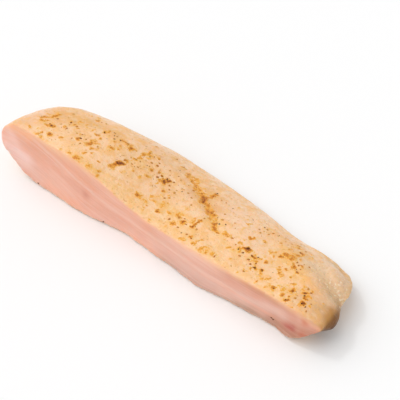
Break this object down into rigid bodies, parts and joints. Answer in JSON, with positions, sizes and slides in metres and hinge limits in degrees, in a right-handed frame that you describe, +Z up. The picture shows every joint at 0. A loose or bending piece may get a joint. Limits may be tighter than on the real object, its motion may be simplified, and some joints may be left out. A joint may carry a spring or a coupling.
{
  "type": "cooked chicken breast half",
  "caption": "Seasoned, cooked chicken breast cut lengthwise: a tapering piece with a domed, peppered top and a flat pink cut side.",
  "frame": {"origin": "middle of the base of the piece's box, on the surface that it lies on", "axes": "+X along the meat's fibres, from the thick end to the thin end; -Y out of the cut face; +Z up"},
  "size_m": [0.1782, 0.0534, 0.0296],
  "materials": {
    "cooked_chicken": "moist cooked meat: pale peach with golden and brown marks on top, pink on the cut side",
    "pepper": "coarsely ground dry pepper, dark brown to black"
  },
  "bodies": {
    "root": {"chicken_breast": "cooked_chicken"}
  },
  "joints": []
}
